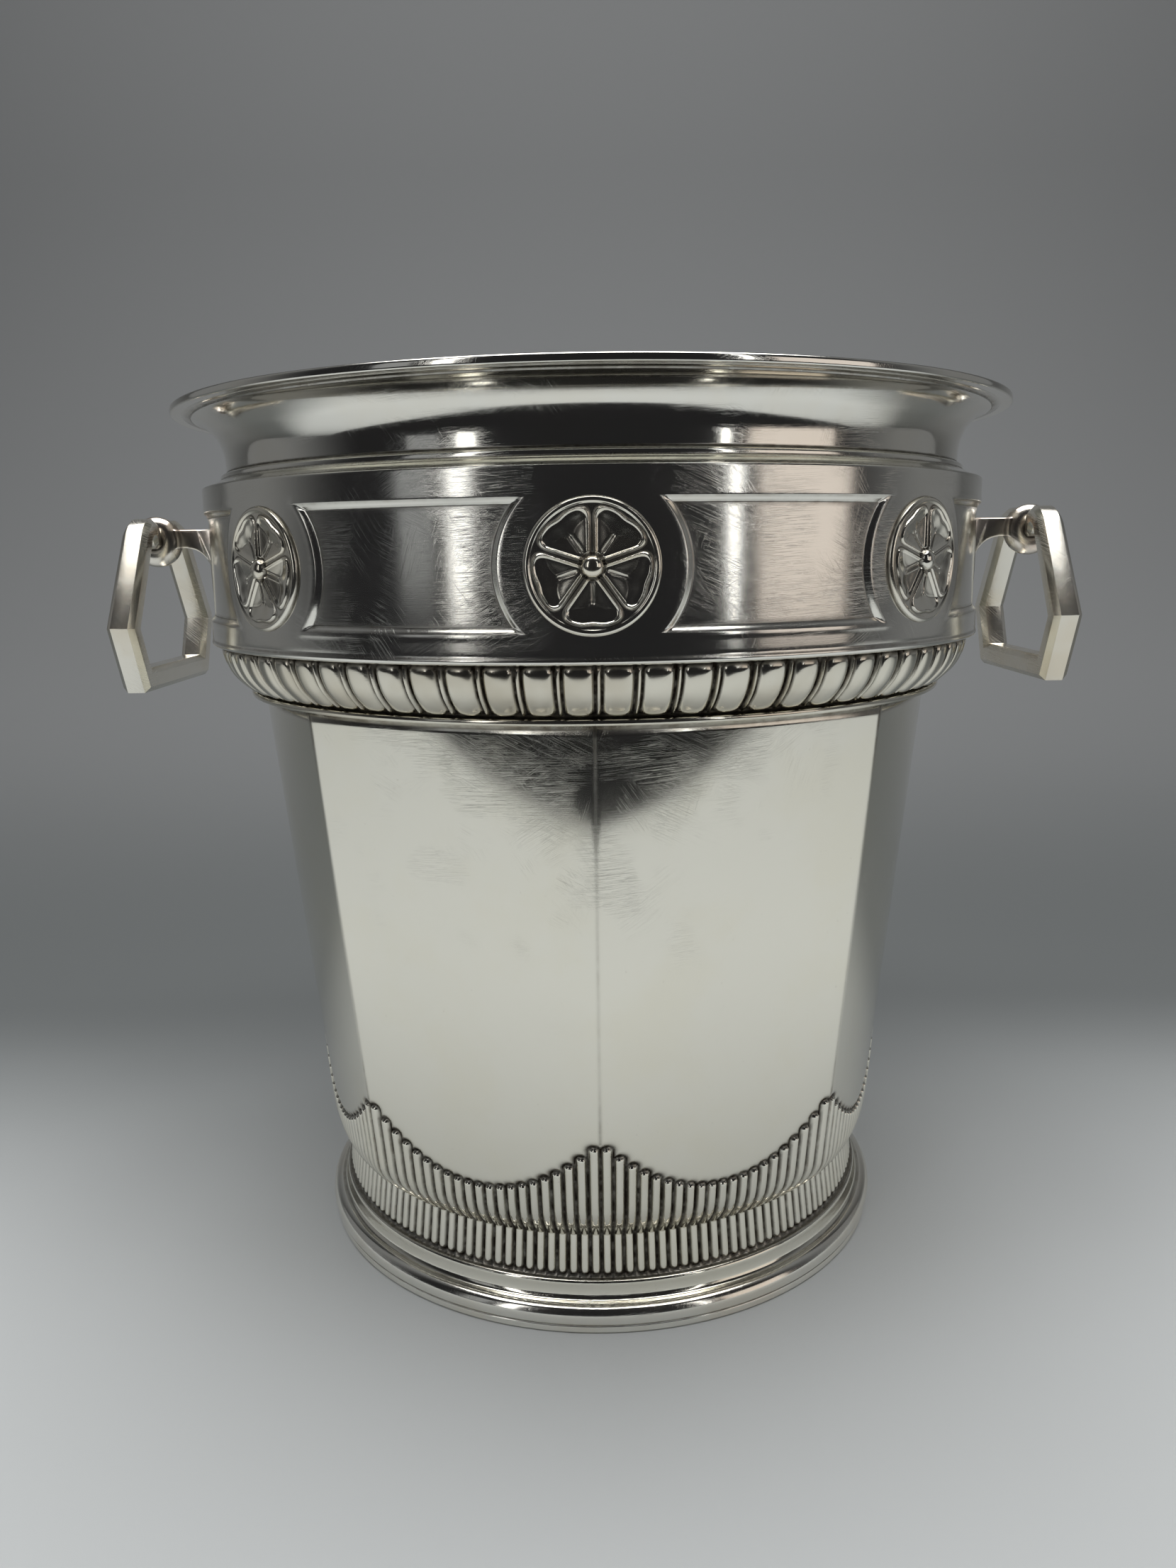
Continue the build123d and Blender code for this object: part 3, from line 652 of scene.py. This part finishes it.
lug_plate("shield_right", 1, "lug_plate_right")
lug_plate("shield_left", -1, "lug_plate_left")

# ---------------------------------------------------------------------------
# lugs: cast post, web and bead-shaped eye fused into one skin
# ---------------------------------------------------------------------------
PX, PZ = 117.0, 184.4

def lug(name, s, node):
    V = []; F = []
    # post and web, a profile in XZ swelling in Y towards the plate
    top = [(99.2, 188.5), (100.6, 188.1), (103.0, 187.7), (107.0, 187.6), (111.0, 187.6), (112.6, 187.6)]
    low = [(112.6, 182.4), (110.6, 182.7), (108.4, 182.6), (106.0, 181.9), (104.2, 180.6), (102.7, 178.4), (101.7, 175.6), (101.0, 172.8), (100.5, 171.6), (99.2, 171.5)]
    prof = smooth_curve(top, 22).tolist() + smooth_curve(low, 40).tolist()
    n = len(prof)
    ts = [-1.0, -0.92, -0.7, -0.35, 0.0, 0.35, 0.7, 0.92, 1.0]
    c = np.mean(prof, axis=0)
    for t in ts:
        for (px, pz) in prof:
            wy = 1.95 + 1.1 * math.exp(-(px - 99.6) / 1.3)
            k = 1.0 - 0.03 * (abs(t) ** 6)
            inset = 0.55 * (1 - math.sqrt(max(0, 1 - abs(t) ** 3)))
            qx = px + (c[0] - px) * inset * 0.06; qz = pz + (c[1] - pz) * inset * 0.10
            V.append((qx, t * wy, qz))
    for i in range(len(ts) - 1):
        for j in range(n):
            a = i * n + j; b = i * n + (j + 1) % n; c2 = (i + 1) * n + (j + 1) % n; d = (i + 1) * n + j
            F.append((a, d, c2, b))
    F.append(tuple(range(n)))
    F.append(tuple(reversed(range((len(ts) - 1) * n, len(ts) * n))))
    me = bpy.data.meshes.new(name + "_a"); me.from_pydata([tuple(v) for v in V], [], F); me.update()
    # eye: a full bead turned about the pin
    base_i = 0
    pr = smooth_curve([(1.7, -2.55), (2.5, -2.8), (3.7, -2.74), (5.1, -2.3), (6.25, -1.3), (6.7, 0.0), (6.25, 1.3), (5.1, 2.3), (3.7, 2.74), (2.5, 2.8), (1.7, 2.55)], 40).tolist()
    pr = pr + [(1.65, 1.2), (1.65, 0.0), (1.65, -1.2)]
    m2 = 72
    Ve = []; Fe = []
    for i in range(m2):
        a = 2 * PI * i / m2
        for (r, yy) in pr:
            Ve.append((PX + r * math.cos(a), yy, PZ + r * math.sin(a)))
    k = len(pr)
    for i in range(m2):
        for j in range(k):
            a = i * k + j; b = ((i + 1) % m2) * k + j; c2 = ((i + 1) % m2) * k + (j + 1) % k; d = i * k + (j + 1) % k
            Fe.append((a, b, c2, d))
    nv = len(V)
    allv = np.array(V + Ve)
    allf = F + [tuple(nv + q for q in f) for f in Fe]
    allv[:, 0] *= s
    if s < 0:
        allf = [tuple(reversed(f)) for f in allf]
    me = bpy.data.meshes.new(name)
    me.from_pydata((allv * MM).tolist(), [], allf)
    me.update()
    import bmesh
    bm = bmesh.new(); bm.from_mesh(me)
    bmesh.ops.recalc_face_normals(bm, faces=bm.faces[:])
    bm.to_mesh(me); bm.free()
    o = bpy.data.objects.new(name, me)
    scene.collection.objects.link(o)
    rem = o.modifiers.new("fuse", "REMESH")
    rem.mode = "VOXEL"; rem.voxel_size = 0.22 * MM; rem.use_smooth_shade = True
    sm = o.modifiers.new("soften", "SMOOTH"); sm.factor = 0.5; sm.iterations = 7
    dg = bpy.context.evaluated_depsgraph_get()
    me2 = bpy.data.meshes.new_from_object(o.evaluated_get(dg), depsgraph=dg)
    o.modifiers.clear()
    o.data = me2
    me2.materials.clear(); me2.materials.append(M_LUG)
    co = np.empty(len(me2.vertices) * 3); me2.vertices.foreach_get("co", co); co = co.reshape(-1, 3) / MM
    rad = np.hypot(np.abs(co[:, 0]) - PX, co[:, 2] - PZ)
    cv = 0.7 * np.exp(-((rad - 6.9) / 0.45) ** 2) * (np.abs(co[:, 0]) < 112.2) + 0.85 * np.exp(-((rad - 2.0) / 0.8) ** 2) + 0.5 * np.exp(-(np.abs(co[:, 0]) - 100.2) / 0.5) * (np.abs(co[:, 1]) > 2.2)
    a = me2.attributes.new("cav", "FLOAT", "POINT"); a.data.foreach_set("value", np.clip(cv, 0, 1).astype(np.float32))
    me2.polygons.foreach_set("use_smooth", np.ones(len(me2.polygons), dtype=bool)); me2.update()
    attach(o, "bucket"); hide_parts(node)

lug("bracket_right", 1, "lug_right")
lug("bracket_left", -1, "lug_left")

# ---------------------------------------------------------------------------
# handles: a faceted bar bent into a six-sided drop, bosses at the eye
# ---------------------------------------------------------------------------
def handle(name, s, node, body):
    # centreline in (y, z), from one boss round to the other
    half = [(3.15, 184.4, 0), (4.6, 184.5, 0), (5.4, 185.1, 0.7), (6.3, 186.3, 1.0), (7.3, 187.2, 1.15)]
    # rounded shoulder from (12.3, 187.7) towards (28.4, 163.0)
    d2 = np.array([28.4 - 12.3, 163.0 - 187.7]); d2 /= np.linalg.norm(d2)
    cor = np.array([12.3, 187.7]); d1 = np.array([1.0, 0.0])
    turn = math.acos(np.dot(d1, d2)); rr_ = 6.5; tl = rr_ * math.tan(turn / 2)
    p0 = cor - d1 * tl; cen = p0 + np.array([0, -rr_])
    for i in range(0, 15):
        a = turn * i / 14
        half.append((cen[0] + rr_ * math.sin(a), cen[1] + rr_ * math.cos(a), 1.2 + 0.5 * i / 14))
    half += [(28.4, 163.0, 2), (22.0, 149.4, 2)]
    path = half + [(-y, z, w_) for y, z, w_ in reversed(half)]
    P = np.array([(y, z) for y, z, _ in path]); W = [w_ for *_, w_ in path]
    n = len(P)
    secs = []
    bar = []
    hx, hw, ch = 3.5, 3.0, 1.35
    octa = [(-hx, -hw + ch), (-hx + ch, -hw), (hx - ch, -hw), (hx, -hw + ch), (hx, hw - ch), (hx - ch, hw), (-hx + ch, hw), (-hx, hw - ch)]
    # twelve-sided boss would not match, so the boss uses the same eight points on a circle
    rb = 2.35
    circ = []
    for (ox, ow) in octa:
        l = math.hypot(ox, ow); circ.append((ox / l * rb, ow / l * rb))
    V = []
    for i in range(n):
        if i == 0: t = P[1] - P[0]
        elif i == n - 1: t = P[-1] - P[-2]
        else:
            a = P[i] - P[i - 1]; b = P[i + 1] - P[i]
            a = a / np.linalg.norm(a); b = b / np.linalg.norm(b); t = a + b
        t = t / np.linalg.norm(t)
        nn = np.array([-t[1], t[0]])
        if 0 < i < n - 1:
            sc = 1.0 / max(0.5, float(np.dot(nn, np.array([-a[1], a[0]]))))
        else:
            sc = 1.0
        for (c1, c2), (o1, o2) in zip(circ, octa):
            ax, aw = c1 + (o1 - c1) * W[i] / 2, c2 + (o2 - c2) * W[i] / 2
            pt = P[i] + nn * aw * sc
            V.append((PX + ax, pt[0], pt[1]))
    F = []
    for i in range(n - 1):
        for j in range(8):
            F.append((i * 8 + j, i * 8 + (j + 1) % 8, (i + 1) * 8 + (j + 1) % 8, (i + 1) * 8 + j))
    F.append(tuple(reversed(range(8))))
    F.append(tuple(range((n - 1) * 8, n * 8)))
    V = np.array(V); V[:, 0] *= s
    import bmesh
    me = bpy.data.meshes.new(name); me.from_pydata((V * MM).tolist(), [], F); me.update()
    bm = bmesh.new(); bm.from_mesh(me); bmesh.ops.recalc_face_normals(bm, faces=bm.faces[:]); bm.to_mesh(me); bm.free()
    o = bpy.data.objects.new(name, me); scene.collection.objects.link(o)
    bv = o.modifiers.new("worn_edges", "BEVEL"); bv.width = 0.75 * MM; bv.segments = 4; bv.limit_method = "ANGLE"; bv.angle_limit = math.radians(24)
    sb = o.modifiers.new("cut", "SUBSURF"); sb.subdivision_type = "SIMPLE"; sb.levels = 1; sb.render_levels = 1
    dg = bpy.context.evaluated_depsgraph_get()
    me2 = bpy.data.meshes.new_from_object(o.evaluated_get(dg), depsgraph=dg)
    o.modifiers.clear(); o.data = me2
    co = np.empty(len(me2.vertices) * 3); me2.vertices.foreach_get("co", co); co = co.reshape(-1, 3) / MM
    cv = 0.8 * np.exp(-((np.abs(co[:, 1]) - 5.6) / 0.5) ** 2) + 0.6 * np.exp(-((np.abs(co[:, 1]) - 3.2) / 0.3) ** 2) * (np.abs(co[:, 2] - PZ) < 4)
    a = me2.attributes.new("cav", "FLOAT", "POINT"); a.data.foreach_set("value", np.clip(cv, 0, 1).astype(np.float32))
    me2.materials.clear(); me2.materials.append(M_HANDLE)
    me2.polygons.foreach_set("use_smooth", np.ones(len(me2.polygons), dtype=bool)); me2.update()
    me2.set_sharp_from_angle(angle=math.radians(35))
    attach(o, body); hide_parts(node)

handle("drop_handle_right", 1, "handle_right", "handle_right")
handle("drop_handle_left", -1, "handle_left", "handle_left")

# carried-over nodes
for nd, mt in (("floor_plate", M_INSIDE), ("pivot_pin_left", M_PIN), ("pivot_pin_right", M_PIN)):
    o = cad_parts[nd]
    o.data.materials.clear(); o.data.materials.append(mt)

# ---------------------------------------------------------------------------
# stage: pale table with its front edge just under the camera, grey backdrop,
# soft lights
# ---------------------------------------------------------------------------
def sheet_mesh(name, pts, faces, mat):
    me = bpy.data.meshes.new(name); me.from_pydata(pts, [], faces); me.materials.append(mat)
    for p in me.polygons: p.use_smooth = True
    me.update()
    o = bpy.data.objects.new(name, me); scene.collection.objects.link(o)
    return o

def painted_falloff_table(name, front, back, wall, rough):
    """A pale table with a painted light falloff: pale at the front as if lit from there, it falls off to a painted
    shade band of dark grey towards the back, as the light from the front does, then turns to the even grey of the
    backdrop.
    """
    k = Nodes(name)
    P = k.obj()
    x, y, z = k.sep(P)
    n = k.noise(P, 2.5, 3.0)
    yy = k.math("ADD", y, k.math("MULTIPLY", k.math("SUBTRACT", n, 0.5), 0.06))
    g = k.ramp(yy, -0.085, 0.14, 0.0, 1.0)
    far = k.ramp(yy, 0.20, 0.80, 0.0, 1.0)
    k.put(k.bsdf.inputs["Base Color"], k.mixc(far, k.mixc(g, front, back), wall))
    k.bsdf.inputs["Roughness"].default_value = rough
    return k.mat

FRONT = -0.335
# painted light and shade on the table: pale lit front, dark grey painted shade band behind, plain grey backdrop
painted_falloff_mat = painted_falloff_table("table_top", (0.645, 0.668, 0.670, 1), (0.140, 0.150, 0.151, 1), (0.258, 0.265, 0.268, 1), 0.75)
pts = []; fcs = []
prof = [(FRONT, 0.0), (0.0, 0.0), (0.30, 0.0), (0.50, 0.0)]
for i in range(1, 19):
    a = PI / 2 * i / 18
    prof.append((0.50 + 0.60 * math.sin(a), 0.60 - 0.60 * math.cos(a)))
prof += [(1.10, 1.0), (1.10, 1.8)]
for (yy, zz) in prof:
    pts += [(-1.6, yy, zz), (1.6, yy, zz)]
for i in range(len(prof) - 1):
    fcs.append((2 * i, 2 * i + 1, 2 * i + 3, 2 * i + 2))
sheet_mesh("table_and_backdrop", pts, fcs, painted_falloff_mat)

def area(name, loc, target, w, h_, power, col=(1, 1, 1)):
    l = bpy.data.lights.new(name, "AREA"); l.shape = "RECTANGLE"; l.size = w; l.size_y = h_; l.energy = power; l.color = col
    o = bpy.data.objects.new(name, l); scene.collection.objects.link(o)
    o.location = loc
    dirv = (Vector(target) - Vector(loc)).normalized()
    o.rotation_euler = dirv.to_track_quat("-Z", "Y").to_euler()
    return o

area("strip_left", (-0.82, -1.20, 0.60), (0, 0, 0.15), 0.14, 1.1, 1.1)
area("strip_right", (0.90, -1.18, 0.60), (0, 0, 0.15), 0.05, 1.1, 0.7)
area("glow_left", (-1.25, -1.15, 0.55), (0, 0, 0.18), 0.30, 0.9, 0.22, (0.94, 0.97, 1.0))
area("window_right", (1.72, -1.05, 0.45), (0, 0, 0.18), 1.0, 0.9, 2.0, (1.0, 0.90, 0.83))
area("overhead", (0, 0.0, 1.5), (0, -0.05, 0), 1.5, 1.1, 23)

world = bpy.data.worlds.new("room"); scene.world = world
world.use_nodes = True
wt = world.node_tree; wt.nodes.clear()
wo = wt.nodes.new("ShaderNodeOutputWorld"); bg = wt.nodes.new("ShaderNodeBackground")
tc = wt.nodes.new("ShaderNodeTexCoord"); sp = wt.nodes.new("ShaderNodeSeparateXYZ")
wt.links.new(tc.outputs["Generated"], sp.inputs[0])
mr = wt.nodes.new("ShaderNodeMapRange"); mr.interpolation_type = "SMOOTHSTEP"
wt.links.new(sp.outputs[1], mr.inputs[0])
mr.inputs[1].default_value = -0.35; mr.inputs[2].default_value = 0.25
mr.inputs[3].default_value = 0.0; mr.inputs[4].default_value = 1.0
mx = wt.nodes.new("ShaderNodeMix"); mx.data_type = "RGBA"
wt.links.new(mr.outputs[0], mx.inputs[0])
mx.inputs[6].default_value = (0.015, 0.015, 0.016, 1); mx.inputs[7].default_value = (0.16, 0.163, 0.166, 1)
wt.links.new(mx.outputs[2], bg.inputs[0]); bg.inputs[1].default_value = 1.0
wt.links.new(bg.outputs[0], wo.inputs[0])

scene.view_settings.view_transform = "Standard"
scene.view_settings.look = "None"
